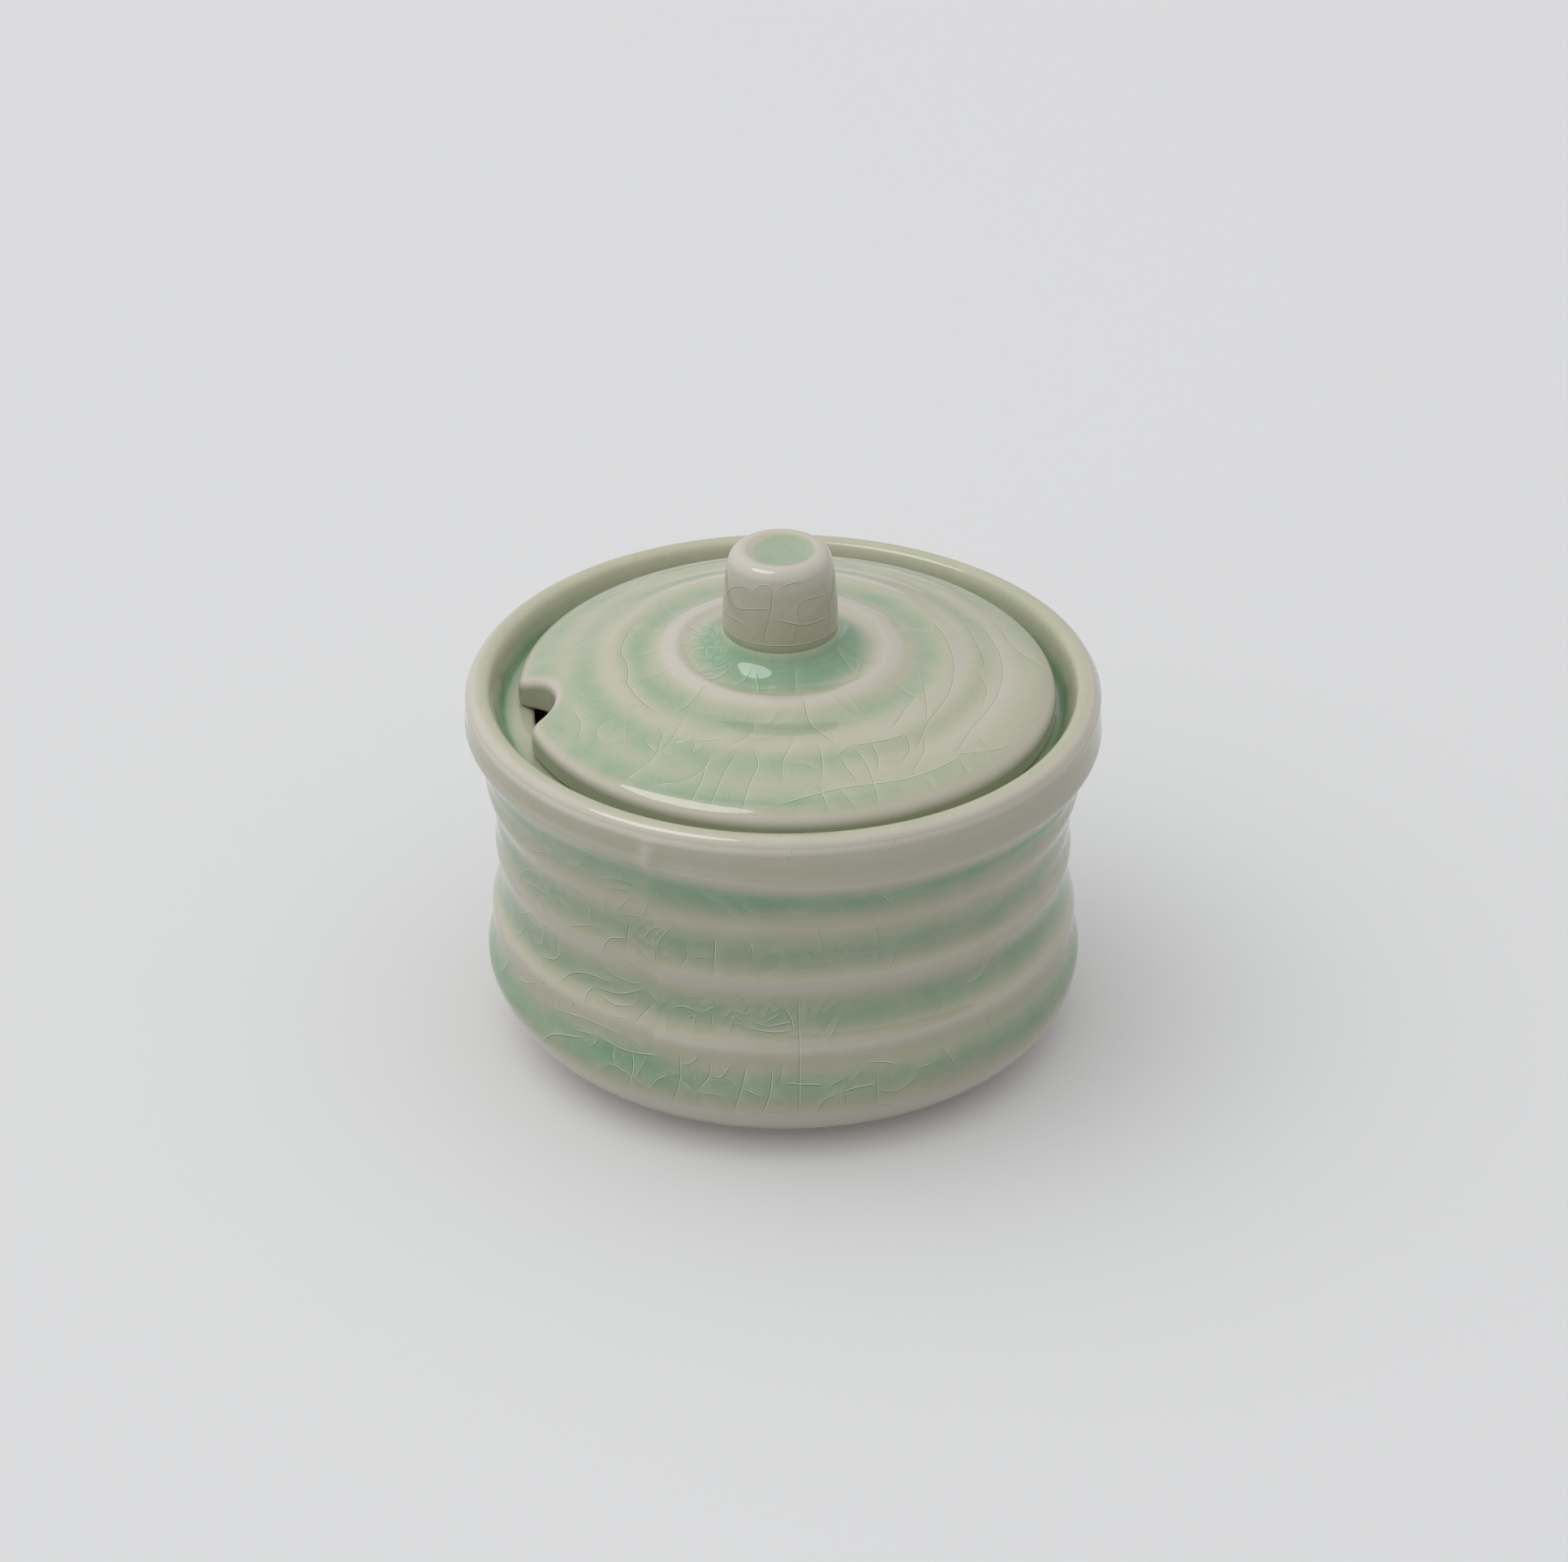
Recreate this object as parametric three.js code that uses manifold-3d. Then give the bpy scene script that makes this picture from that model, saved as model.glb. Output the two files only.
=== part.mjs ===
// A small lidded pot in glazed stoneware: a wheel-thrown pot with throwing rings and a gallery ledge
// inside its rim, a domed lid that drops onto the ledge and has a notch for a spoon handle, and a knob
// luted on the lid. Millimetres, +Z up, origin at the middle of the foot, on the table.

import * as THREE from 'three';
import { mergeVertices } from 'three/addons/utils/BufferGeometryUtils.js';
import Module from 'manifold-3d';

const wasm = await Module();
wasm.setup();

// ---- Driving dimensions -------------------------------------------------------------------------

const SEGMENTS = 56; // facets round the pot and the lid
const KNOB_SEGMENTS = 36;
const SEAT_GAP = 0.3; // air between pieces that rest on each other

const FOOT_RADIUS = 32;
const FOOT_WIDTH = 3.6; // flat of the foot ring, where the pot stands
const FOOT_HEIGHT = 1.7; // from the table to the underside of the wall
const BASE_RADIUS = 34.8; // where the underside turns up into the wall
const RECESS_DEPTH = 2.4; // hollow inside the foot ring
const FLOOR_TOP = 5.6; // inside floor of the pot

const BELLY_RADIUS = 42.3; // widest place of the wall, low down
const WAIST_RADIUS = 40.2; // narrowest place, half way up
const LIP_RADIUS = 44.8;
const RIM_TOP = 53.8;
const RIM_INNER_RADIUS = 40.9; // mouth at the top of the rim
const LEDGE_TOP = 49.1; // gallery ledge that carries the lid
const LEDGE_INNER_RADIUS = 34.9;
const LEDGE_OUTER_RADIUS = 39.4;

const LID_RADIUS = 37.9;
const LID_OFFSET = 0.5; // the lid's edge lies a little off the pot's axis, towards +X
const LID_BOTTOM = LEDGE_TOP + SEAT_GAP;
const LID_EDGE_TOP = 53.4;
const LID_HOLLOW_RADIUS = 33.6; // the underside is hollow inside this
const LID_HOLLOW_TOP = 54.6;

const NOTCH_RADIUS = 6; // round cut for a spoon handle
const NOTCH_CENTRE = 38.9; // from the lid's axis
const NOTCH_BEARING = 189.2; // degrees, anticlockwise from +X
const NOTCH_CORNER = 2.5; // rounding where the cut meets the lid's edge

const KNOB_OFFSET = -0.4; // the knob and the collar under it lie a little off the axis, the other way
const KNOB_BASE = 62.7;
const KNOB_TOP = 74.7;
const KNOB_BASE_RADIUS = 8.1;
const KNOB_SHOULDER_RADIUS = 7.4;
const KNOB_EDGE = 1.8; // rounding of the top edge
const KNOB_DISH = 0.4; // hollow in the top, where glaze pools

// ---- Helpers ------------------------------------------------------------------------------------

const point = (radius, height) => new THREE.Vector2(radius, height);

// Points along a smooth curve through the given stations, the first one left out.
function smooth(stations, count) {
  return new THREE.SplineCurve(stations).getSpacedPoints(count).slice(1);
}

// Points of an arc round a centre, from one angle to another in degrees.
function arc(centreRadius, centreHeight, radius, from, to, count) {
  const points = [];
  for (let i = 0; i <= count; i++) {
    const angle = THREE.MathUtils.degToRad(from + ((to - from) * i) / count);
    const [across, up] = [radius * Math.cos(angle), radius * Math.sin(angle)];
    points.push(point(centreRadius + across, centreHeight + up));
  }
  return points;
}

// Indexed positions only, with the triangles that collapse on the axis left out.
function closedMesh(geometry) {
  const bare = geometry.clone();
  bare.deleteAttribute('normal');
  bare.deleteAttribute('uv');
  const merged = mergeVertices(bare, 1e-4);
  const index = merged.getIndex().array;
  const kept = [];
  for (let i = 0; i < index.length; i += 3) {
    const [a, b, c] = [index[i], index[i + 1], index[i + 2]];
    if (a !== b && b !== c && c !== a) kept.push(a, b, c);
  }
  merged.setIndex(kept);
  return merged;
}

// A profile of radius and height, turned round the vertical axis.
function turned(profile, segments) {
  return closedMesh(new THREE.LatheGeometry(profile, segments).rotateX(Math.PI / 2));
}

function toManifold(geometry) {
  return new wasm.Manifold(
    new wasm.Mesh({
      numProp: 3,
      vertProperties: new Float32Array(geometry.getAttribute('position').array),
      triVerts: new Uint32Array(geometry.getIndex().array),
    })
  );
}

function fromManifold(solid) {
  const { vertProperties, triVerts } = solid.getMesh();
  const geometry = new THREE.BufferGeometry();
  geometry.setAttribute('position', new THREE.BufferAttribute(vertProperties, 3));
  geometry.setIndex(new THREE.BufferAttribute(triVerts, 1));
  return geometry;
}

function piece(name, geometry, material) {
  geometry.computeVertexNormals();
  const mesh = new THREE.Mesh(geometry, material);
  mesh.name = name;
  return mesh;
}

const glaze = (color, roughness) => new THREE.MeshStandardMaterial({ color, roughness, metalness: 0 });

// ---- Pot ----------------------------------------------------------------------------------------

// Underside: recess, foot ring, and the turn from the foot to the wall.
function footProfile() {
  const inner = FOOT_RADIUS - FOOT_WIDTH;
  return [
    point(0, RECESS_DEPTH),
    point(inner - 1.6, RECESS_DEPTH),
    point(inner - 0.4, RECESS_DEPTH - 0.8),
    point(inner, 0),
    point(FOOT_RADIUS, 0),
    point(FOOT_RADIUS + 0.6, FOOT_HEIGHT),
    point(BASE_RADIUS, FOOT_HEIGHT),
  ];
}

// Outside: rounded base, belly, three throwing rings with grooves between them, neck and lip.
function wallProfile() {
  return smooth(
    [
      point(BASE_RADIUS, FOOT_HEIGHT),
      point(36.6, 2.5),
      point(38.9, 4.3),
      point(41.1, 7.2),
      point(BELLY_RADIUS, 10.8),
      point(41.7, 14.6),
      point(41.2, 19.2), // lowest ring
      point(WAIST_RADIUS, 23.8),
      point(40.85, 28.8), // middle ring
      point(40.65, 33.4),
      point(41.95, 38.9), // highest ring
      point(42.3, 41.8),
      point(43.5, 44.8),
      point(LIP_RADIUS - 0.1, 48),
      point(LIP_RADIUS, 51.4),
      point(44.05, 53.2),
      point(42.9, RIM_TOP),
      point(41.5, 53.4),
      point(RIM_INNER_RADIUS, 52.4),
    ],
    38
  );
}

// Inside: gallery wall and ledge, inner wall, rounded corner and floor.
function hollowProfile() {
  const fillet = 0.8;
  return [
    point(40.3, 51.2),
    ...arc(LEDGE_OUTER_RADIUS - 0.4, LEDGE_TOP + fillet, fillet, 0, -90, 3),
    point(LEDGE_INNER_RADIUS + 0.7, LEDGE_TOP),
    point(LEDGE_INNER_RADIUS, LEDGE_TOP - 0.8),
    ...smooth(
      [
        point(LEDGE_INNER_RADIUS, LEDGE_TOP - 0.8),
        point(35.5, 46.2),
        point(37.7, 40),
        point(36.9, 26),
        point(37.9, 13),
        point(36.2, 8.4),
        point(31, FLOOR_TOP),
      ],
      15
    ),
    point(16, FLOOR_TOP - 0.3),
    point(0, FLOOR_TOP - 0.4),
  ];
}

function makePot() {
  return turned([...footProfile(), ...wallProfile(), ...hollowProfile()], SEGMENTS);
}

// ---- Lid ----------------------------------------------------------------------------------------

// Domed disc: hollow underside, flat seat, rounded edge, two throwing rings and the knob's collar.
function lidProfile() {
  const edgeRadius = (LID_EDGE_TOP - LID_BOTTOM) / 2;
  const collarTop = KNOB_BASE - SEAT_GAP;
  return [
    point(0, LID_HOLLOW_TOP),
    point(14, LID_HOLLOW_TOP - 0.3),
    point(25, LID_HOLLOW_TOP - 1.9),
    point(31, LID_HOLLOW_TOP - 3.8),
    point(LID_HOLLOW_RADIUS, LID_BOTTOM),
    ...arc(LID_RADIUS - edgeRadius, LID_BOTTOM + edgeRadius, edgeRadius, -90, 60, 6),
    ...smooth(
      [
        point(LID_RADIUS - edgeRadius / 2, LID_EDGE_TOP - 0.25),
        point(33, 54.6),
        point(28.6, 56.1),
        point(25, 57.3), // outer ring
        point(20, 58.1),
        point(15, 59.4), // inner ring
        point(12.2, 58.9), // well round the knob
        point(10.1, 59.5),
        point(8.7, 60.9),
        point(KNOB_BASE_RADIUS, collarTop),
      ],
      18
    ),
    point(0, collarTop),
  ];
}

// Plan of the spoon notch: a round cut, opening outwards through two rounded corners.
function notchOutline() {
  const reach = NOTCH_RADIUS + NOTCH_CORNER;
  const edge = LID_RADIUS - NOTCH_CORNER;
  const along = (NOTCH_CENTRE ** 2 + edge ** 2 - reach ** 2) / (2 * NOTCH_CENTRE);
  const across = Math.sqrt(edge ** 2 - along ** 2); // corner circle's centre, from the notch's own axis
  const toCut = Math.atan2(across, along - NOTCH_CENTRE); // from the cut's centre to the corner's
  const toEdge = Math.atan2(across, along); // from the lid's centre to the corner's
  const far = LID_RADIUS + 6;
  const outline = new THREE.Shape();
  outline.moveTo(far, -far * Math.tan(toEdge));
  outline.absarc(along, -across, NOTCH_CORNER, -toEdge, Math.PI - toCut, false);
  outline.absarc(NOTCH_CENTRE, 0, NOTCH_RADIUS, -toCut, toCut, true);
  outline.absarc(along, across, NOTCH_CORNER, toCut - Math.PI, toEdge, false);
  outline.lineTo(far, far * Math.tan(toEdge));
  return outline;
}

function makeNotchCutter() {
  const low = LID_BOTTOM - 2;
  const through = { depth: 10, bevelEnabled: false, curveSegments: 8 };
  const cutter = new THREE.ExtrudeGeometry(notchOutline(), through);
  cutter.translate(0, 0, low);
  cutter.rotateZ(THREE.MathUtils.degToRad(NOTCH_BEARING));
  cutter.translate(LID_OFFSET, 0, 0);
  return closedMesh(cutter);
}

// Shifts the collar to the knob's centre and the edge to the lid's own, smoothly in between.
function offCentre(geometry) {
  const position = geometry.getAttribute('position');
  for (let i = 0; i < position.count; i++) {
    const radius = Math.hypot(position.getX(i), position.getY(i));
    const share = THREE.MathUtils.smoothstep(radius, KNOB_BASE_RADIUS, LID_RADIUS);
    position.setX(i, position.getX(i) + THREE.MathUtils.lerp(KNOB_OFFSET, LID_OFFSET, share));
  }
  return geometry;
}

function makeLid() {
  const disc = toManifold(offCentre(turned(lidProfile(), SEGMENTS)));
  return fromManifold(disc.subtract(toManifold(makeNotchCutter())));
}

// ---- Knob ---------------------------------------------------------------------------------------

// Slightly tapered plug with a rounded top edge and a shallow dish.
function makeKnob() {
  const edgeHeight = KNOB_TOP - KNOB_EDGE;
  const profile = [
    point(0, KNOB_BASE),
    point(KNOB_BASE_RADIUS, KNOB_BASE),
    point(KNOB_BASE_RADIUS - 0.2, KNOB_BASE + 4),
    ...arc(KNOB_SHOULDER_RADIUS - KNOB_EDGE, edgeHeight, KNOB_EDGE, 0, 90, 5),
    point(4, KNOB_TOP - KNOB_DISH),
    point(0, KNOB_TOP - KNOB_DISH),
  ];
  return turned(profile, KNOB_SEGMENTS);
}

// ---- Assembly -----------------------------------------------------------------------------------

const group = new THREE.Group();
group.add(piece('pot', makePot(), glaze(0x8b9a84, 0.18)));

group.add(piece('lid_disc', makeLid(), glaze(0xa6b097, 0.16)));

const knob = piece('knob', makeKnob(), glaze(0xb0ab98, 0.16));
knob.position.x = KNOB_OFFSET;
group.add(knob);

export default group;
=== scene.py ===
"""The looks of a small lidded pot in crackled celadon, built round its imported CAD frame.

Row frame: metres, +Z up, origin at the middle of the foot, -Y towards the viewer, -X towards the
spoon notch. Shapes are worked out in millimetres and scaled once, when a mesh is made. A bearing
is measured from the front (-Y) and grows towards +X.
"""

import math

import bpy
import numpy as np
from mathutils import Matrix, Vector
from mathutils.kdtree import KDTree


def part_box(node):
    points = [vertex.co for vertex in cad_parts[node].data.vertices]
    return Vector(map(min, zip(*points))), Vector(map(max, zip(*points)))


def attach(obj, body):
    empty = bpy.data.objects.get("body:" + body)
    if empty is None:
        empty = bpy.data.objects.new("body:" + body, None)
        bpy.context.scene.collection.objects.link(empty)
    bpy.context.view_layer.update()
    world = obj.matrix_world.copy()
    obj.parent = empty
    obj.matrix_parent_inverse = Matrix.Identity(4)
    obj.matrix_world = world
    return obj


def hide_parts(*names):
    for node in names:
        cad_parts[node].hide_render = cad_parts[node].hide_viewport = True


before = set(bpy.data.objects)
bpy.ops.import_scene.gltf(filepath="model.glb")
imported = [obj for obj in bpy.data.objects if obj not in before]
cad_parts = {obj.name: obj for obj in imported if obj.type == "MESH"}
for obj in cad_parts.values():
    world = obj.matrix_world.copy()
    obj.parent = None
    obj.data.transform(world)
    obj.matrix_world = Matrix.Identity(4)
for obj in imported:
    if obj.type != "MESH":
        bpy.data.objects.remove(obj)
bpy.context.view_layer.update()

MM = 0.001
TURN = 2 * math.pi

# ---- Sizes from the frame ----


def box_mm(node):
    """Lowest and highest corner of a CAD node, in millimetres."""
    low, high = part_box(node)
    return np.array(low) / MM, np.array(high) / MM


POT_LOW, POT_HIGH = box_mm("pot")
LID_LOW, LID_HIGH = box_mm("lid_disc")
KNOB_LOW, KNOB_HIGH = box_mm("knob")

RIM_TOP = POT_HIGH[2]
LID_RADIUS = (LID_HIGH[1] - LID_LOW[1]) / 2
LID_X = LID_HIGH[0] - LID_RADIUS
LID_BOTTOM = LID_LOW[2]
COLLAR_TOP = LID_HIGH[2]
KNOB_X = (KNOB_LOW[0] + KNOB_HIGH[0]) / 2
KNOB_RADIUS = (KNOB_HIGH[1] - KNOB_LOW[1]) / 2
KNOB_BASE, KNOB_TOP = KNOB_LOW[2], KNOB_HIGH[2]

# ---- Sizes that the frame's boxes don't tell ----

FOOT_RADIUS = 32.0
FOOT_WIDTH = 3.6
FOOT_HEIGHT = 1.7
LEDGE_TOP = LID_BOTTOM - 0.3
LEDGE_INNER = 34.9

RINGS = ((38.9, 0.56), (28.7, 0.64), (18.9, 0.54))  # throwing rings: height, how proud
RING_WIDTH = 1.8
SEAM = math.radians(-25.5)  # where the last pull of the wall ends, left of the front
SEAM_WIDTH = math.radians(2.6)
SEAM_RISE = 0.8  # the rings climb this far as they come round to the seam
SEAM_FADE = math.radians(42)
BASE_LEAN = 0.5  # the base sits this far to the right of the rim

NOTCH_RADIUS = 6.0
NOTCH_CENTRE = 38.9
NOTCH_BEARING = math.radians(-80.8)
NOTCH_CORNER = 2.5
LID_ROUND = 2.0  # rounding of the lid's upper edge
LID_ARRIS = 0.7  # and of its lower edge
LINE_RADIUS = 35.2  # a fine line turned into the front of the lid

# Glaze thickness down the outside of the wall: 0 thin and pale, 1 a deep pool.
# Under the lip, from 42.8 to 44.2, the deep pool is partly glaze pooled in the neck and partly painted shade
# under the lip's overhang.
WALL_POOLS = (
    (0.0, 0.05), (4.2, 0.0), (7.4, 0.02), (8.8, 0.16), (10.4, 0.46), (11.8, 0.76), (13.0, 0.86),
    (14.2, 0.72), (15.6, 0.42), (16.9, 0.26), (18.1, 0.11), (18.9, 0.05), (19.8, 0.12), (20.9, 0.34),
    (22.2, 0.66), (23.5, 0.82), (24.8, 0.70), (26.0, 0.44), (27.2, 0.20), (28.1, 0.07), (28.9, 0.05),
    (29.8, 0.14), (31.2, 0.38), (32.8, 0.64), (34.2, 0.72), (35.6, 0.52), (37.0, 0.34), (38.2, 0.16),
    (39.1, 0.12), (40.0, 0.24), (41.4, 0.66), (42.8, 0.94), (44.2, 0.92), (45.4, 0.60), (46.4, 0.20),
    (47.6, 0.03), (49.4, 0.18), (50.8, 0.14), (52.2, 0.0), (54.0, 0.20),
)
# The same out from the middle of the lid, on its greener left and on its paler right.
WELL_POOLS = (
    (0.0, 0.45), (8.1, 0.50), (8.3, 0.74), (8.7, 0.92), (9.4, 1.0), (10.4, 0.96), (11.4, 0.70),
    (12.4, 0.40), (13.4, 0.14), (14.4, 0.03),
)
LID_LEFT = WELL_POOLS + (
    (15.8, 0.0), (16.9, 0.10), (18.2, 0.42), (20.2, 0.62), (22.0, 0.54), (23.2, 0.36), (24.5, 0.22),
    (26.0, 0.28), (27.4, 0.54), (28.6, 0.62), (30.0, 0.54), (31.6, 0.42), (33.0, 0.52), (34.6, 0.64),
    (36.2, 0.54), (38.0, 0.44),
)
LID_RIGHT = WELL_POOLS + (
    (15.8, 0.0), (16.9, 0.08), (18.2, 0.36), (19.8, 0.56), (21.4, 0.48), (22.8, 0.20), (24.4, 0.06),
    (25.8, 0.18), (27.4, 0.34), (28.8, 0.20), (30.5, 0.06), (32.2, 0.08), (33.4, 0.26), (34.8, 0.36),
    (36.2, 0.22), (38.0, 0.12),
)
LID_SHARES = (  # how much of the left's glaze there is, by bearing in degrees
    (-180, 0.40), (-120, 0.60), (-90, 0.90), (-55, 1.0), (-20, 0.95), (5, 0.70), (30, 0.30), (60, 0.04),
    (85, 0.04), (110, 0.34), (145, 0.34), (180, 0.40),
)

# The cracks that stand out, as points along each: bearing in degrees and height up the wall. A scratch
# program worked these numbers out from strokes read in the photograph, and so it did LID_CRACKS.
WALL_CRACKS = (
    ((-54, 9), (-50, 12), (-42, 14)), ((-42, 14), (-40, 13.2)), ((-40, 13.2), (-38.6, 14.2), (-38, 15.5)),
    ((-38, 15.5), (-32, 14.8), (-24, 15.5)), ((-34, 15), (-34.4, 13.4), (-33.6, 12)),
    ((-37, 10.5), (-35, 11.9)), ((-35, 11.9), (-33.6, 12), (-30, 11.2)), ((-30, 15), (-29.6, 12), (-31, 9)),
    ((-30, 11.6), (-28, 10.5), (-26, 10)), ((-26, 10), (-24.4, 11.8), (-22, 13)), ((-22, 13), (-20, 13.5)),
    ((-26, 10), (-25.8, 9.2)), ((-20, 16.5), (-19.8, 12.5), (-21.5, 8)),
    ((-20, 15), (-18, 15.3), (-16, 17)), ((-14, 16.5), (-14, 14), (-16.8, 11)),
    ((-16.8, 11), (-18, 12), (-20, 12.5)), ((-14, 14), (-12, 13.8), (-10, 16)),
    ((-7, 16), (-7.6, 13), (-9.6, 8)), ((-8, 12.5), (-4, 11.4)), ((-2, 16), (-2.4, 12), (-4.2, 7.8)),
    ((-50, 16), (-41, 17.1), (-33, 17)), ((-50, 20), (-47, 22.4), (-42, 23.8), (-37, 24)),
    ((-42, 19), (-42, 21), (-40, 22.4)), ((-40, 22.4), (-34, 22.8), (-28, 25)),
    ((-39, 21.6), (-35, 21), (-31, 21.6)), ((-31, 21.6), (-29.6, 23)), ((-28, 25), (-26.6, 24), (-25, 23)),
    ((-25, 23), (-23, 24.2)), ((-26, 23), (-28.4, 20.8), (-30, 19)),
    ((-38, 29), (-36, 31.4), (-31.5, 32.5)), ((-31, 35.5), (-32, 31)), ((-26, 29.5), (-25.6, 32)),
    ((-25.6, 32), (-24.4, 34), (-22, 36.5)), ((-29, 33.2), (-25.8, 32.2)),
    ((-28, 33), (-26.6, 35), (-24, 36.2)), ((-19, 34), (-18.8, 32), (-20.4, 30)), ((-13, 36), (-13.6, 30)),
    ((-18, 32), (-14, 32.5)), ((-56, 22), (-52, 23), (-50, 25)), ((-60, 23), (-57, 23.6), (-56, 26.5)),
    ((-22, 23), (-20, 23.5), (-16, 23)), ((-16, 23), (-13, 24.6)), ((-14, 23.4), (-14, 21)),
    ((-12, 22.5), (-10, 24)), ((-10, 24), (-7, 23.4)), ((-6, 25), (-8, 23.2)), ((-8, 23.2), (-6, 22)),
    ((-7, 21.5), (-2, 21), (2, 21.3)), ((-6, 22.4), (-3, 21.8)), ((-3, 21.8), (2, 22.6)),
    ((-2, 24), (0, 25)), ((0, 25), (1.6, 23), (2, 21)), ((0, 16.5), (-0.5, 13.5)), ((-0.5, 13.5), (8, 13)),
    ((3, 26), (3.2, 17), (3, 8)), ((6, 8), (7.6, 10.6), (10.5, 11.6)),
    ((10.5, 11.6), (14, 12.1), (18, 12.2)), ((8, 12.5), (12, 14)), ((12, 14), (12.8, 13.2)),
    ((12.8, 13.2), (15, 14.6)), ((18, 14), (18, 9)), ((12, 12), (12, 9)), ((18, 11), (22, 10.5), (26, 12)),
    ((26, 12), (26.4, 13.2)), ((26.4, 13.2), (30, 13.4)), ((10, 23), (8, 21)), ((6, 23), (7.5, 24.6)),
    ((32, 23.5), (32, 22)), ((40, 23), (43, 23.4), (46, 25.5)), ((-1, 33), (-1, 31.6)),
    ((-1, 31.6), (-3, 31)), ((-7, 36), (-6, 34.5), (-6, 33)), ((18, 43.5), (20, 41.5)),
    ((-8, 43), (-6, 41)), ((-15, 44), (-11, 42)), ((-11, 42), (-10, 40.4)),
)
KNOB_CRACKS = (  # bearing in degrees and height above the knob's foot
    # A line round the foot.
    ((-160, 0.8), (-100, 0.8), (-50, 0.9), (0, 1.1), (50, 0.9), (100, 0.8), (160, 0.8)),
    ((-75, 5.8), (-64, 7.6), (-49, 8.8), (-37, 9.1), (-31, 8.7)),  # scallops under the shoulder
    ((-31, 8.7), (-26, 9.5), (-19, 10.1), (-12, 10.0), (-7, 9.4)),
    ((-5, 9.4), (3, 10.1), (14, 10.5), (27, 10.4)),
    ((-7, 10.1), (-8, 8.8), (-9, 6.4), (-13, 3.9), (-17, 1.2)),
    ((-59, 6.2), (-53, 5.6), (-42, 5.7), (-26, 6.3), (-9, 6.7)),
    ((-81, 3.4), (-62, 3.5), (-45, 3.6), (-33, 3.2)),
    ((-8, 5.2), (5, 4.8), (21, 4.1), (38, 3.9), (58, 3.9)),
    ((21, 4.3), (16, 5.8), (18, 7.0), (26, 7.7), (40, 7.6), (55, 7.3)),
    ((56, 8.8), (58, 6.5), (60, 4.3), (57, 1.5)),
)
LID_CRACKS = (  # bearing in degrees and distance from the middle of the lid
    ((-38, 26), (-36, 28), (-34, 30), (-35, 36)), ((-40, 29), (-34, 30)),
    ((-36, 23), (-33.5, 27), (-34, 30)), ((-27, 25.5), (-25, 28), (-24, 26.4)),
    ((-19, 27.5), (-20, 31), (-23, 33.5), (-28, 35)), ((-20, 28), (-18.5, 33), (-18.5, 36.8)),
    ((-13, 26.5), (-14, 30), (-14, 36.8)), ((-8, 26), (-6, 28), (-7, 32.5), (-7, 36.6)),
    ((-12, 19.5), (-10, 22), (-12, 24), (-15, 25.4)), ((-114, 22.4), (-86, 22.8), (-61, 23.4), (-47, 23.8)),
    ((-55, 28.4), (-54.5, 31), (-51, 32.2)), ((-66, 31.6), (-60, 32), (-54, 34.2)),
    ((4, 24), (1, 27.5), (1, 31)), ((4, 28), (7, 28), (10, 29.4)), ((12, 25), (12, 27.5), (11, 31)),
    ((12, 15.4), (11, 18), (12, 21), (17, 25)), ((17, 27), (18, 29.4), (19.5, 32.4)),
    ((10, 32.6), (11, 36.2)), ((15, 33.6), (17, 36.6)), ((17, 27), (21, 25.8)),
    ((21, 25.8), (28, 26.2), (40, 26.6)), ((22, 26), (23.5, 29), (23, 33), (22, 36.8)),
    ((28, 26), (27.5, 29), (25.5, 31)), ((40, 26.6), (37.5, 29), (32, 31)),
    ((44, 28), (41, 30), (34, 32.6)), ((114, 23), (92, 23.6), (68, 25), (49, 26.6), (40, 29)),
    ((66, 21.5), (58, 23.4), (50, 26)), ((57, 22), (48, 23), (37, 25)), ((59, 18.6), (57, 22), (59, 23.2)),
    ((117, 32.5), (102, 33), (95, 36.4)), ((112, 30), (95, 30.4), (75, 30.6), (57, 31), (47, 32.6)),
    ((47, 32.6), (54, 34.8), (60, 36)), ((46, 34), (45, 36.8)), ((35, 34), (35.5, 36.2)),
    ((57, 31.6), (55.5, 34)), ((115, 28), (106, 27.4), (89, 28)), ((83, 27.4), (77, 29), (70, 29.4)),
    ((0, 35.4), (14, 33), (33, 33.6), (47, 33.4)), ((-30, 12.4), (-26, 11), (-26, 9.6)),
    ((13, 9), (11, 11), (9, 13)), ((64, 8.8), (60, 10), (54, 12.6)),
)

# ---- Small mathematics ----


def smoothstep(value, start, end):
    t = np.clip((value - start) / (end - start), 0, 1)
    return t * t * (3 - 2 * t)


def bump(value, middle, width):
    return np.exp(-(((value - middle) / width) ** 2))


def around(angle):
    """The same angle between minus and plus half a turn."""
    return np.mod(angle + math.pi, TURN) - math.pi


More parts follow.
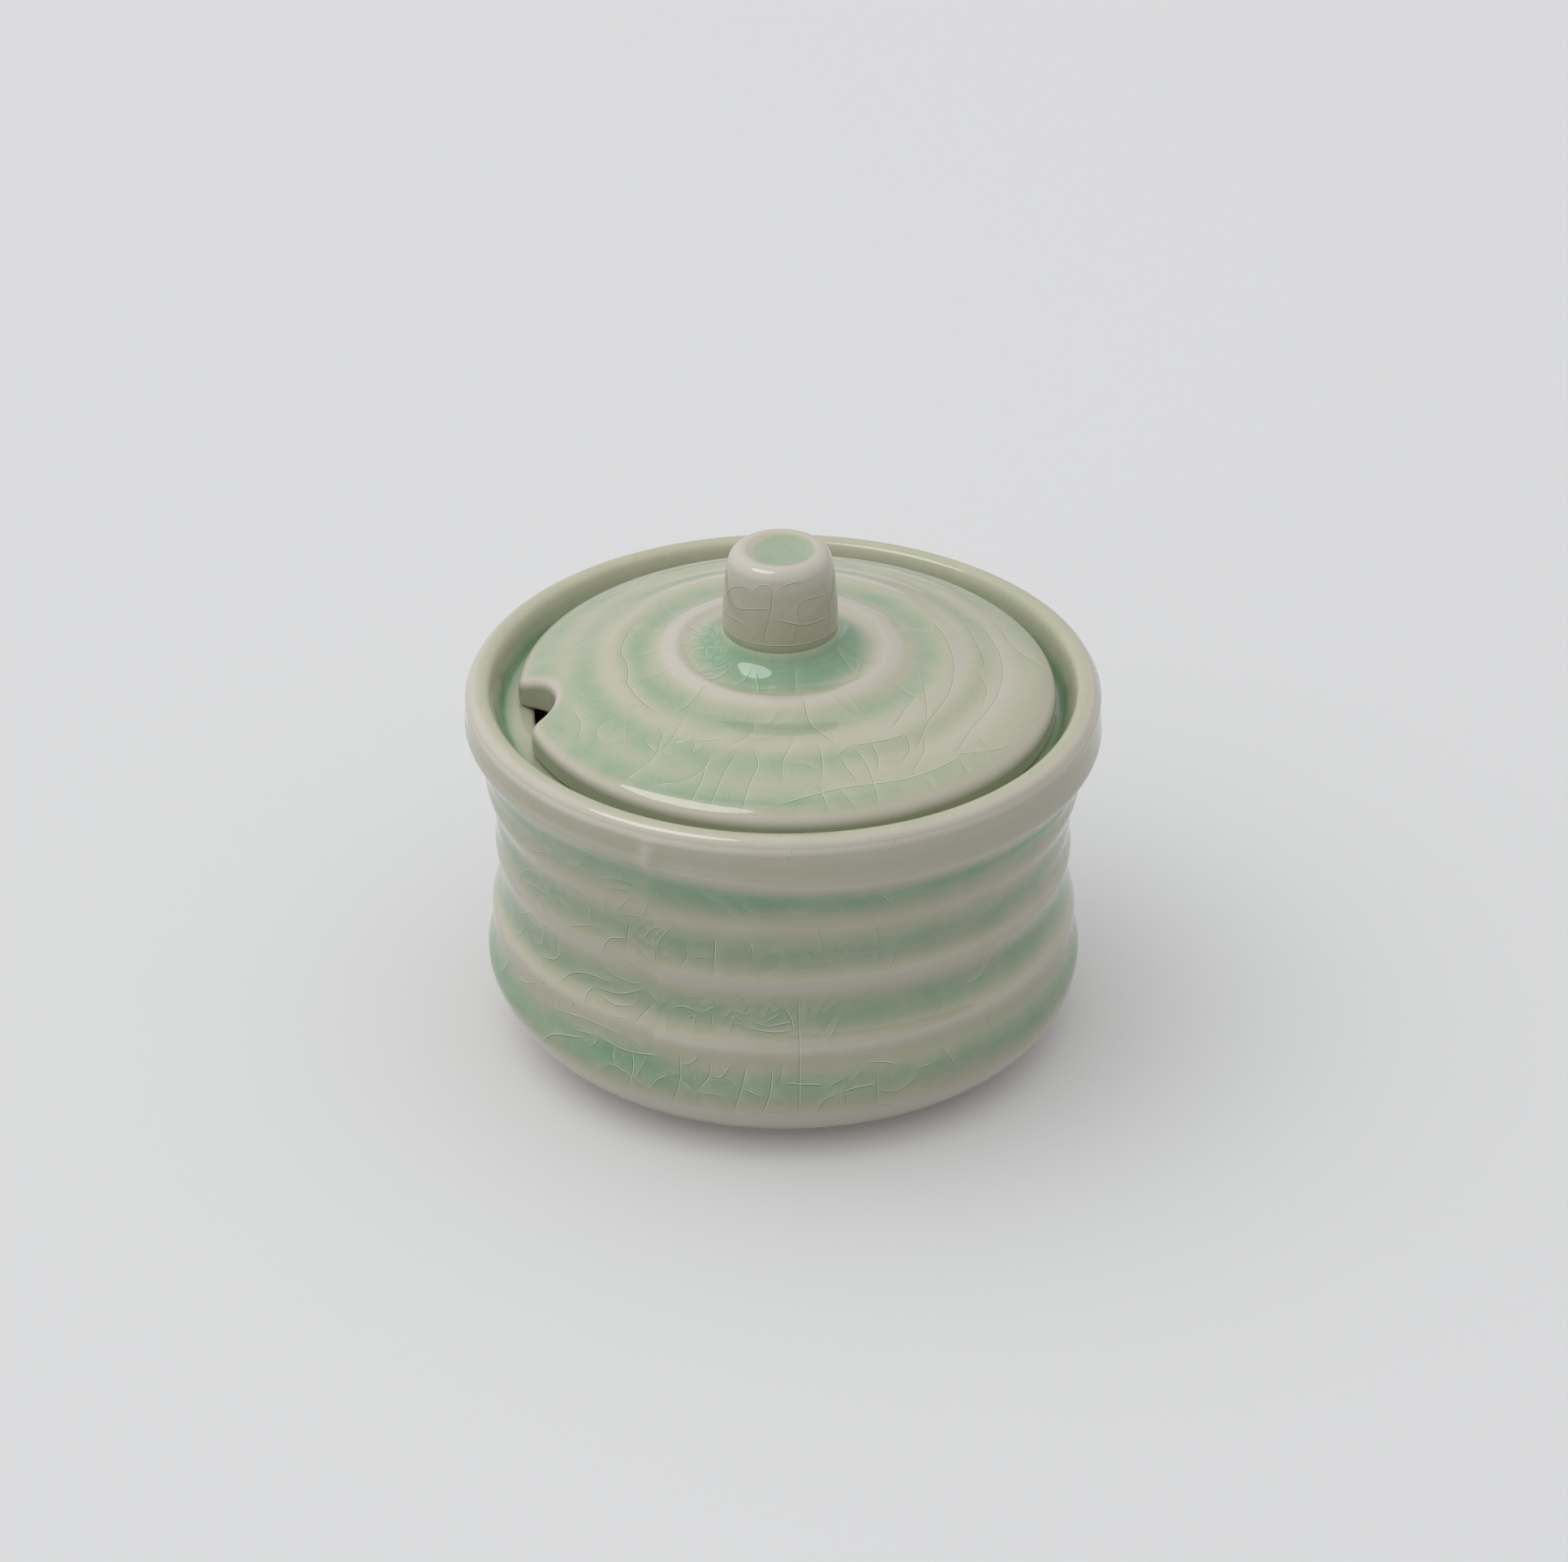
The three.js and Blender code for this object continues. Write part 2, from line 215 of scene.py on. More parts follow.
def spline(stations, step):
    """Points about step apart along a centripetal Catmull-Rom curve through the stations."""
    p = np.array(stations, float)
    p = np.vstack([2 * p[0] - p[1], p, 2 * p[-1] - p[-2]])
    dense = []
    for p0, p1, p2, p3 in zip(p[:-3], p[1:-2], p[2:-1], p[3:]):
        gaps = [np.linalg.norm(b - a) ** 0.5 for a, b in ((p0, p1), (p1, p2), (p2, p3))]
        t0, t1, t2, t3 = np.cumsum([0.0] + gaps)
        t = np.linspace(t1, t2, 24, endpoint=False)[:, None]
        a1 = (t1 - t) / (t1 - t0) * p0 + (t - t0) / (t1 - t0) * p1
        a2 = (t2 - t) / (t2 - t1) * p1 + (t - t1) / (t2 - t1) * p2
        a3 = (t3 - t) / (t3 - t2) * p2 + (t - t2) / (t3 - t2) * p3
        b1 = (t2 - t) / (t2 - t0) * a1 + (t - t0) / (t2 - t0) * a2
        b2 = (t3 - t) / (t3 - t1) * a2 + (t - t1) / (t3 - t1) * a3
        dense.append((t2 - t) / (t2 - t1) * b1 + (t - t1) / (t2 - t1) * b2)
    dense = np.vstack(dense + [p[-2:-1]])
    run = np.concatenate([[0], np.cumsum(np.linalg.norm(np.diff(dense, axis=0), axis=1))])
    places = np.linspace(0, run[-1], max(3, int(round(run[-1] / step)) + 1))
    return np.column_stack([np.interp(places, run, dense[:, k]) for k in range(dense.shape[1])])


def curve(stations):
    """A smooth function through (where, value) stations."""
    line = spline(stations, 0.1)
    return lambda where: np.interp(where, line[:, 0], line[:, 1])


wall_pools = curve(WALL_POOLS)
lid_left, lid_right, lid_share = curve(LID_LEFT), curve(LID_RIGHT), curve(LID_SHARES)


def waves(angle, seed, orders=(1, 2, 3, 5, 8)):
    """A smooth random wave round a full turn, between about -1 and 1."""
    random = np.random.default_rng(seed)
    total = np.zeros_like(angle)
    for order in orders:
        total += random.normal() / order * np.sin(order * angle + random.uniform(0, TURN))
    return total / 1.2


# ---- Skins ----


class Skin:
    """A closed turned surface as a grid of points in millimetres, row by row from one end of the
    axis to the other, with the glaze's thickness at each point."""

    def __init__(self, rows, pool, bare):
        self.rows, self.pool, self.bare = rows, pool, bare
        self.count, self.columns = rows.shape[:2]
        steps = np.linalg.norm(np.diff(rows, axis=0), axis=2).mean(1)
        self.run = np.concatenate([[0], np.cumsum(steps)])
        self.girth = np.linalg.norm(np.roll(rows, -1, 1) - rows, axis=2).sum(1)
        middle = np.linalg.norm(rows[:, :, :2] - rows[:1, :1, :2], axis=2)
        self.reach = middle[:, self.columns // 2]  # distance from the axis at the front
        down = np.gradient(rows, axis=0)
        along = np.roll(rows, -1, 1) - np.roll(rows, 1, 1)
        normal = np.cross(along, down)
        self.normal = normal / np.maximum(np.linalg.norm(normal, axis=2, keepdims=True), 1e-9)

    def at(self, grid, bearing, run):
        """Values of a grid at places given by bearing and by distance along the rows."""
        column = (np.asarray(bearing) / TURN + 0.5) % 1 * self.columns
        row = np.interp(run, self.run, np.arange(self.count))
        c0 = np.floor(column).astype(int)
        r0 = np.minimum(np.floor(row).astype(int), self.count - 2)
        c, r = column - c0, row - r0
        if grid.ndim == 3:
            c, r = np.asarray(c)[..., None], np.asarray(r)[..., None]
        c0, c1 = c0 % self.columns, (c0 + 1) % self.columns
        upper = grid[r0, c0] * (1 - c) + grid[r0, c1] * c
        lower = grid[r0 + 1, c0] * (1 - c) + grid[r0 + 1, c1] * c
        return upper * (1 - r) + lower * r

    def girth_at(self, run):
        return max(1.0, float(np.interp(run, self.run, self.girth)))


def new_piece(name, points, faces, attributes, smooth):
    mesh = bpy.data.meshes.new(name)
    mesh.from_pydata((points * MM).tolist(), [], faces)
    for key, values in attributes.items():
        values = np.asarray(values, np.float32)
        mesh.attributes.new(key, "FLOAT", "POINT").data.foreach_set("value", values)
    mesh.polygons.foreach_set("use_smooth", np.full(len(mesh.polygons), smooth))
    mesh.update()
    piece = bpy.data.objects.new(name, mesh)
    bpy.context.scene.collection.objects.link(piece)
    return piece


def skin_piece(name, skin, painted_side_shading):
    """The mesh of a skin, its first and last row drawn together to a point on the axis."""

    def flat(values):
        return np.concatenate([values[:1, 0], values[1:-1].reshape(-1, *values.shape[2:]), values[-1:, 0]])

    points = flat(skin.rows)
    last = len(points) - 1
    grid = 1 + np.arange((skin.count - 2) * skin.columns).reshape(skin.count - 2, skin.columns)
    right = np.roll(grid, -1, axis=1)
    quads = np.stack([grid[:-1], right[:-1], right[1:], grid[1:]], axis=-1).reshape(-1, 4)
    first_fan = [(0, int(b), int(a)) for a, b in zip(grid[0], right[0])]
    last_fan = [(last, int(a), int(b)) for a, b in zip(grid[-1], right[-1])]
    facts = {
        "pool": flat(skin.pool), "bare": flat(skin.bare),
        "crack": np.zeros(len(points)), "painted_side_shading": flat(painted_side_shading),
    }
    return new_piece(name, points, first_fan + quads.tolist() + last_fan, facts, True)


# ---- Crackle ----

STEP = 0.55  # between the points of a crack
MEET = 0.42  # a crack stops this close to another one
THREAD = ((-0.20, 0.004, 0.0), (-0.10, 0.008, -1.0), (0.01, 0.018, 1.0), (0.12, 0.004, 0.1))
# Each point of THREAD: how far across the crack, how far above the skin, and the tone: 1 for the crack's pale
# line, -1 for a painted shadow along one side.
WANDER = 0.05  # how much a crack's heading changes at random in a step
SHADE_REACH = 2.5  # the painted light and shade beside a crack reach this far to either side, ...
SHADE_FADE = 0.6  # ... fading over about this distance, ...
SHADE_CORE = 0.25  # ... and softly across the crack itself
POT_SEED, LID_SEED, KNOB_SEED = 7, 19, 29


class Crackle:
    """A network of cracks on a skin. Each runs on until it meets an older one."""

    def __init__(self, skin, seed):
        self.skin = skin
        self.random = np.random.default_rng(seed)
        self.cells = {}
        self.lines = []  # (bearings, runs, strength)

    def spot(self, bearing, run):
        return self.skin.at(self.skin.rows, bearing, run)

    def near(self, spot, reach, own=None):
        """Whether any crack but the one called own comes within reach of a point."""
        span = int(math.ceil(reach))
        x, y, z = (int(math.floor(v)) for v in spot)
        for i in range(x - span, x + span + 1):
            for j in range(y - span, y + span + 1):
                for k in range(z - span, z + span + 1):
                    for number, point in self.cells.get((i, j, k), ()):
                        if number != own and np.dot(point - spot, point - spot) < reach * reach:
                            return True
        return False

    def walk(self, bearing, run, heading, bend, length, number):
        """Follow a crack one way, bending steadily, to its end or to the first crack it meets."""
        path = []
        for _ in range(int(length / STEP)):
            bearing += STEP * math.cos(heading) * TURN / self.skin.girth_at(run)
            run += STEP * math.sin(heading)
            heading += STEP * bend + self.random.normal() * WANDER
            path.append((bearing, run))
            if self.near(self.spot(bearing, run), MEET, number):
                break
        return path

    def add(self, bearing, run, heading, length, bend, strength, gap):
        spot = self.spot(bearing, run)
        if self.near(spot, gap):
            return
        number = len(self.lines)
        half = length / 2
        ahead = self.walk(bearing, run, heading, bend, half, number)
        behind = self.walk(bearing, run, heading + math.pi, -bend, half, number)
        path = behind[::-1] + [(bearing, run)] + ahead
        if len(path) >= 3:
            self.keep(np.array(path), strength)

    def keep(self, path, strength):
        for place in path:
            point = self.spot(*place)
            cell = tuple(int(math.floor(v)) for v in point)
            self.cells.setdefault(cell, []).append((len(self.lines), point))
        self.lines.append((path[:, 0], path[:, 1], strength))

    def draw(self, stations, run, strength=1.0):
        """A crack through given points: bearings in degrees, and places that run turns into runs."""
        places = np.array([(math.radians(bearing), run(place)) for bearing, place in stations])
        reach = self.skin.girth_at(places[:, 1].mean()) / TURN
        path = spline(places * (reach, 1), STEP) / (reach, 1)
        self.keep(path, strength * self.random.uniform(0.8, 1.0))

    def family(self, count, bearings, runs, heading, spread, lengths, radius=30, strength=1.0, gap=1.5):
        """Cracks of one kind: where they start, in degrees and along the rows, which way they head
        (0 round the pot, 90 up and down), how long they are and how tightly they curve."""
        draw = self.random
        for _ in range(count):
            bearing = math.radians(draw.uniform(*bearings))
            run = draw.uniform(*runs)
            way = math.radians(heading + draw.normal() * spread)
            length = draw.uniform(*lengths)
            bend = draw.choice((-1, 1)) / radius * draw.uniform(0.4, 1.3)
            self.add(bearing, run, way, length, bend, strength * draw.uniform(0.7, 1.0), gap)

    def painted_side_shading(self):
        """Painted light and shade beside each crack: how much paler one side is than the other, for each
        point of the skin.
        """
        tree = KDTree(sum(len(line[0]) for line in self.lines))
        sides, strengths = [], []
        for bearings, runs, strength in self.lines:
            points = self.spot(bearings, runs)
            along = np.gradient(points, axis=0)
            side = np.cross(self.skin.at(self.skin.normal, bearings, runs), along)
            for point, way in zip(points, side):
                tree.insert(point, len(sides))
                sides.append((point, way / max(np.linalg.norm(way), 1e-9)))
                strengths.append(strength)
        tree.balance()
        painted_side_shading = np.zeros(self.skin.pool.shape)
        for index in np.ndindex(painted_side_shading.shape):
            spot = self.skin.rows[index]
            _, nearest, gap = tree.find(spot)
            if gap < SHADE_REACH:
                point, way = sides[nearest]
                lean = np.dot(spot - point, way) / max(gap, SHADE_CORE)
                painted_side_shading[index] = lean * math.exp(-gap / SHADE_FADE) * strengths[nearest]
        return painted_side_shading

    def piece(self, name):
        """The cracks as fine raised threads of glaze on the skin, with a painted shadow on one side."""
        points, faces, facts = [], [], {"pool": [], "crack": []}
        for bearings, runs, strength in self.lines:
            line = self.spot(bearings, runs)
            normal = self.skin.at(self.skin.normal, bearings, runs)
            along = np.gradient(line, axis=0)
            side = np.cross(normal, along)
            side /= np.maximum(np.linalg.norm(side, axis=1, keepdims=True), 1e-9)
            count, width = len(line), len(THREAD)
            taper = np.minimum(1, 0.25 + np.minimum(np.arange(count), np.arange(count)[::-1]) / 3)[:, None]
            start = len(points)
            sides = [line + taper * (across * side + lift * normal) for across, lift, _ in THREAD]
            points += np.stack(sides, axis=1).reshape(-1, 3).tolist()
            for k in range(start, start + width * (count - 1), width):
                faces += [(k + i, k + i + 1, k + i + 1 + width, k + i + width) for i in range(width - 1)]
            facts["pool"] += np.repeat(self.skin.at(self.skin.pool, bearings, runs), width).tolist()
            facts["crack"] += [tone * strength for _, _, tone in THREAD] * count
        facts["bare"] = facts["painted_side_shading"] = [0.0] * len(points)
        return new_piece(name, np.array(points), faces, facts, False)


# ---- Pot ----

UNDERSIDE, WALL, INSIDE = 0, 1, 2  # stretches of the pot's profile


def pot_profile():
    """Radius and height from the middle of the underside round to the middle of the inside floor.
    The third number names the stretch; the rim belongs to the inside."""
    inner = FOOT_RADIUS - FOOT_WIDTH
    under = [(0, 2.4), (12, 2.4), (inner - 1.8, 2.3), (inner - 0.5, 1.6), (inner - 0.1, 0.25)]
    ring = [
        (inner + 0.25, 0), (FOOT_RADIUS - 0.3, 0), (FOOT_RADIUS + 0.1, 0.3),
        (FOOT_RADIUS + 0.6, FOOT_HEIGHT - 0.4),
    ]
    turn = [(FOOT_RADIUS + 1.2, FOOT_HEIGHT), (34.8, FOOT_HEIGHT + 0.05)]
    wall = [
        (34.8, FOOT_HEIGHT + 0.05), (36.6, 2.4), (39.0, 4.2), (41.1, 7.0), (42.2, 10.6), (41.8, 14.2),
        (40.85, 19.2), (40.2, 23.8), (40.3, 28.8), (40.7, 33.6), (41.35, 38.8), (42.2, 41.8),
        (43.4, 44.7), (44.45, 47.6), (44.72, 50.0), (44.55, 52.0),
    ]
    rim = [(44.55, 52.0), (44.0, 53.2), (42.9, RIM_TOP - 0.02), (41.6, 53.45), (41.0, 52.6), (40.4, 51.2)]
    hollow = [
        (40.4, 51.2), (39.8, 49.95), (39.2, 49.25), (38.2, LEDGE_TOP), (LEDGE_INNER + 0.9, LEDGE_TOP),
        (LEDGE_INNER + 0.1, 48.7), (LEDGE_INNER + 0.1, 47.6), (35.8, 45.6), (37.6, 40), (36.9, 26),
        (37.8, 13.5), (36.2, 8.6), (31, 5.7), (16, 5.3), (0, 5.2),
    ]
    stretches = [
        (under, 1.6, UNDERSIDE), (ring, 0.5, UNDERSIDE), (turn, 0.6, UNDERSIDE), (wall, 0.42, WALL),
        (rim, 0.36, INSIDE), (hollow[:7], 0.42, INSIDE), (hollow[6:], 1.25, INSIDE),
    ]
    pieces = []
    for stations, step, stretch in stretches:
        points = spline(stations, step)
        pieces.append(np.column_stack([points, np.full(len(points), stretch)]))
    joined = [pieces[0]]
    for before, after in zip(pieces, pieces[1:]):
        same = np.allclose(before[-1, :2], after[0, :2])
        joined.append(after[1:] if same else after)
    return np.vstack(joined)


def both_sides(bearing, height, pattern):
    """A pattern of height as it is on either side of the seam, run into each other across it."""
    away = np.mod(SEAM - bearing, TURN)  # how far round, going left from the seam
    band = smoothstep(height, 7, 15) * (1 - smoothstep(height, 48.5, 51))
    climb = SEAM_RISE * np.exp(-away / SEAM_FADE) * band
    drift = (0.20 * waves(bearing, 11) - 0.5 * np.cos(bearing) - 0.3 * np.sin(bearing)) * band
    left = pattern(height - climb - drift)
    right = pattern(height - drift)
    near_left = smoothstep(around(SEAM - bearing), -SEAM_WIDTH, SEAM_WIDTH)
    share = np.where(np.abs(around(bearing - SEAM)) < math.pi / 2, near_left, 1.0)
    return left * share + right * (1 - share)


def lip_sag(bearing, height):
    """How much lower the lip's under edge hangs: up a little on the left, down on the right."""
    to_right = smoothstep(bearing, -0.6, 0.3) * (1 - smoothstep(bearing, 2.0, 3.1))
    return (1.9 * to_right - 0.8) * bump(height, 46.3, 3.2)


def past_seam(bearing):
    """1 just left of the seam, fading on round the pot."""
    return np.exp(-np.mod(SEAM - bearing, TURN) / math.radians(35))


def seam_ridge(bearing, height):
    """The short ridge that the seam leaves on the lip."""
    return bump(around(bearing - SEAM), 0.02, 0.020) * bump(height, 48.8, 2.3)


def rings(level):
    """How proud the throwing rings stand at a height."""
    return sum(proud * bump(level, at, RING_WIDTH) for at, proud in RINGS)


def pot_rows(profile, bearing, radius, height, stretch):
    """The profile turned round, with its rings, its seam, the base's lean and a little unevenness."""
    wall = (stretch == WALL) * 1.0
    level = height + lip_sag(bearing, height)
    sagged = np.interp(level.ravel(), *outline_of(profile)).reshape(height.shape)
    swell = both_sides(bearing, height, rings) * (1 - 0.3 * past_seam(bearing))
    swell = swell + 0.16 * bump(height, 52.2, 0.9) + 0.34 * bump(level, 47.7, 1.0)
    swell = swell - 0.34 * bump(level, 44.6, 1.4)
    uneven = 0.10 * waves(bearing, 3) + 0.06 * np.sin(height * 0.9 + 2 * bearing)
    lean = BASE_LEAN * np.sin(bearing) * (1 - smoothstep(height, 4, 13)) * smoothstep(height, 1.6, 4)
    ridge = 0.75 * seam_ridge(bearing, height)
    grown = np.where(wall > 0, sagged, radius)
    grown = grown + wall * (swell + ridge + uneven * smoothstep(height, 2, 9) + lean)
    grown = grown + (stretch == INSIDE) * (height > 50) * 0.10 * waves(bearing, 3)
    lifted = np.maximum(height, 0) + 0.10 * waves(bearing, 5, (1, 2, 3)) * smoothstep(height, 50, 53.5)
    return np.stack([grown * np.sin(bearing), -grown * np.cos(bearing), lifted], axis=-1)


def wall_glaze(bearing, height):
    """Thickness of the glaze on the outside of the wall."""
    seam_side = past_seam(bearing)
    pool = both_sides(bearing, height + lip_sag(bearing, height), wall_pools)
    pool = pool * (1 - 0.3 * bump(bearing, -0.85, 0.4) * bump(height, 43.5, 3.0))
    pool = pool * (1 + 0.10 * waves(bearing + height * 0.05, 21)) * (1 - 0.20 * seam_side) + 0.06 * seam_side
    pool = pool * (1 - 0.16 * bump(bearing, 0.5, 0.9))
    pool = pool - 0.3 * seam_ridge(bearing, height)
    by_seam = bump(around(bearing - math.radians(-32)), 0, 0.16) * bump(height, 13.5, 2.6)
    return pool + 0.35 * by_seam


def inner_glaze(radius, height):
    """Thickness of the glaze on the rim, the gallery and the hollow."""
    rim_tone = 0.02 + 0.24 * smoothstep(-radius, -43.7, -42.7)  # yellower on the inner side
    gallery = 0.34 + 0.62 * bump(height, LEDGE_TOP + 0.6, 1.0) * smoothstep(radius, 37.8, 38.9)
    gallery = gallery - 0.26 * smoothstep(-radius, -36.4, -35.2) * smoothstep(height, 47.5, 48.6)
    hollow = 0.5 + 0.4 * bump(height, 7.0, 2.5)
    inner = np.where(height > LEDGE_TOP - 1.6, gallery, hollow)
    return np.where((height > 52.6) | (radius > 42), rim_tone, inner)


def pot_cracks(skin, run):
    cracks = Crackle(skin, POT_SEED)
    for stations in WALL_CRACKS:
        cracks.draw(stations, run, 1.3)
    lower, rims = (run(8), run(17)), (run(44), run(53) + 3)
    inside = (skin.run[-1] - 66, skin.run[-1] - 12)
    # Left of the seam and down it.
    cracks.family(16, (-62, -8), (run(10), run(27)), 14, 20, (5, 10), 8, 1.0, 1.7)
    cracks.family(18, (-70, -20), (run(24), run(43)), 14, 24, (4, 8), 7, 1.0, 1.4)
    cracks.family(22, (-74, -28), (run(9), run(31)), 34, 40, (3, 7), 7, 1.1, 1.4)
    cracks.family(22, (-64, -28), (run(31), run(43)), 44, 50, (2, 5), 6, 1.1, 1.1)
    cracks.family(10, (-34, -22), (run(10), run(40)), 80, 24, (2, 5), 8, 0.8, 1.0)
    # The front, with a thicket on its second band.
    cracks.family(12, (-24, 22), (run(31), run(37)), 88, 18, (3, 6.5), 14, 0.6, 1.8)
    cracks.family(34, (-18, 10), (run(20.5), run(26)), 60, 50, (1.5, 3.5), 5, 1.1, 0.6)
    cracks.family(20, (-40, 34), lower, 8, 40, (2, 5), 7, 1.0, 0.9)
    # Two shattered patches on the upper left.
    cracks.family(34, (-66, -46), (run(33), run(44)), 45, 60, (1.2, 3), 4, 1.2, 0.5)
    cracks.family(20, (-33, -23), (run(31), run(38)), 60, 50, (1.2, 3), 4, 1.3, 0.45)
    # The right, the back, over the rim and the inside.
    cracks.family(14, (8, 32), (run(10), run(14)), 20, 50, (1.5, 3.5), 5, 0.7, 0.8)
    cracks.family(8, (30, 75), (run(38), run(46)), 50, 16, (4, 9), 30, 0.45, 2.5)
    cracks.family(8, (25, 75), (run(12), run(30)), 60, 40, (3, 6), 12, 0.4, 3)
    cracks.family(40, (75, 285), (run(6), run(46)), 80, 35, (6, 14), 14, 0.7, 3.4)
    cracks.family(44, (75, 285), (run(6), run(46)), 10, 30, (3, 8), 10, 0.6, 2.0)
    cracks.family(34, (-180, 180), rims, 90, 18, (3, 7), 20, 0.55, 4.5)
    cracks.family(60, (-180, 180), inside, 60, 60, (5, 12), 14, 0.6, 4.0)
    return cracks


def make_pot(columns=360):
    profile = pot_profile()
    bearing = np.linspace(-math.pi, math.pi, columns, endpoint=False)[None, :]
    radius, height, stretch = (profile[:, k : k + 1] + 0 * bearing for k in range(3))
    outer = np.where(stretch == WALL, wall_glaze(bearing, height), 0.1)
    pool = np.clip(np.where(stretch == INSIDE, inner_glaze(radius, height), outer), 0, 1)
    low = (stretch == UNDERSIDE) & (height < FOOT_HEIGHT - 0.5)
    on_foot = low & (radius > FOOT_RADIUS - FOOT_WIDTH - 0.3)
    skin = Skin(pot_rows(profile, bearing, radius, height, stretch), pool, on_foot * 1.0)
    on_wall = profile[:, 2] == WALL

    def run(level):
        return float(np.interp(level, profile[on_wall, 1], skin.run[on_wall]))

    finish_piece("celadon_pot", skin, pot_cracks(skin, run), "pot", "pot")


def outline_of(profile):
    """Heights and radii up the outside of the wall."""
    wall = profile[profile[:, 2] == WALL]
    return wall[:, 1], wall[:, 0]


def finish_piece(name, skin, cracks, body, node):
    """The skin and the cracks on it as two pieces in the same glaze."""
    solid = skin_piece(name, skin, cracks.painted_side_shading())
    threads = cracks.piece(name + "_crackle")
    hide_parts(node)
    material = glaze(name + "_glaze")
    for piece in (solid, threads):
        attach(piece, body)
        piece.data.materials.append(material)


# ---- Lid ----

UNDER, EDGE, UPPER = 0, 1, 2  # the lid's faces
CORE_RADIUS = 20.0  # the lid's rows are round inside this, and take on the outline's shape outside it
CORE_INSET = 18.0


def lid_outline(count):
    """The lid's plan round its own centre, with the spoon notch, as points and inward normals,
    in order of bearing from the back round by the left."""
    reach, edge = NOTCH_RADIUS + NOTCH_CORNER, LID_RADIUS - NOTCH_CORNER
    along = (NOTCH_CENTRE**2 + edge**2 - reach**2) / (2 * NOTCH_CENTRE)
    across = math.sqrt(edge**2 - along**2)
    to_edge = math.atan2(across, along)
    to_cut = math.atan2(across, NOTCH_CENTRE - along)
    runs = [  # centre, radius, start and end angle, with the notch on the first axis
        ((0, 0), LID_RADIUS, to_edge, TURN - to_edge),
        ((along, -across), NOTCH_CORNER, -to_edge, to_cut),
        ((NOTCH_CENTRE, 0), NOTCH_RADIUS, math.pi + to_cut, math.pi - to_cut),
        ((along, across), NOTCH_CORNER, -to_cut, to_edge),
    ]
    dense, inward = [], []
    for centre, r, start, end in runs:
        t = np.linspace(start, end, 1 + max(8, int(abs(end - start) * r / 0.05)))[:-1]
        ring = np.column_stack([np.cos(t), np.sin(t)])
        dense.append(np.array(centre) + r * ring)
        inward.append(ring if r == NOTCH_RADIUS else -ring)
    dense, inward = np.vstack(dense), np.vstack(inward)
    turn = NOTCH_BEARING - math.pi / 2
    c, s = math.cos(turn), math.sin(turn)
    rotate = np.array([[c, s], [-s, c]])
    dense, inward = dense @ rotate, inward @ rotate
    back = int(np.argmax(dense[:, 1]))
    dense, inward = np.roll(dense, -back, axis=0), np.roll(inward, -back, axis=0)
    if dense[10, 0] > dense[0, 0]:
        dense, inward = dense[::-1], inward[::-1]
    run = np.concatenate([[0], np.cumsum(np.linalg.norm(np.diff(dense, axis=0), axis=1))])
    at = np.linspace(0, run[-1], count, endpoint=False)
    pick = np.column_stack([np.interp(at, run, column) for column in (*dense.T, *inward.T)])
    return pick[:, :2], pick[:, 2:]


lid_top_line = curve(
    [
        (0, COLLAR_TOP + 0.3), (KNOB_RADIUS - 0.6, COLLAR_TOP + 0.3), (KNOB_RADIUS + 0.05, COLLAR_TOP),
        (8.25, COLLAR_TOP - 0.5), (8.45, 61.4), (9.2, 60.6), (10.4, 59.85), (11.6, 59.3), (12.6, 59.0),
        (13.5, 59.05), (14.8, 59.45), (16.4, 59.1), (18.2, 58.3), (19.8, 57.95), (21.6, 57.9), (23.4, 57.85),
        (25.6, 57.25), (28, 56.45), (30.5, 55.75), (33.4, 54.95), (35.6, 54.25), (36.9, 53.75), (38.5, 53.0),
    ]
)
lid_under_line = curve(
    [(0, 54.6), (14, 54.3), (25, 52.8), (30, 51.0), (33, 49.7), (34.4, LID_BOTTOM), (38.5, LID_BOTTOM)]
)


def polar(points):
    """Distance from the axis and bearing."""
    return np.hypot(points[..., 0], points[..., 1]), np.arctan2(points[..., 0], -points[..., 1])


def front_line(radius, bearing, width):
    """The fine line turned into the front of the lid."""
    return bump(radius, LINE_RADIUS - 0.8 * bearing, width) * bump(bearing, -0.25, 0.45)


def lid_top(points):
    """Height of the upper face over points of the plan, before its edge is rounded."""
    radius, bearing = polar(points)
    ripple = 0.05 * np.sin(radius * 1.5 - bearing) * smoothstep(radius, 15, 20)
    return lid_top_line(radius) + ripple - 0.03 * front_line(radius, bearing, 0.35)


def lid_under(points):
    return lid_under_line(np.hypot(points[..., 0], points[..., 1]))


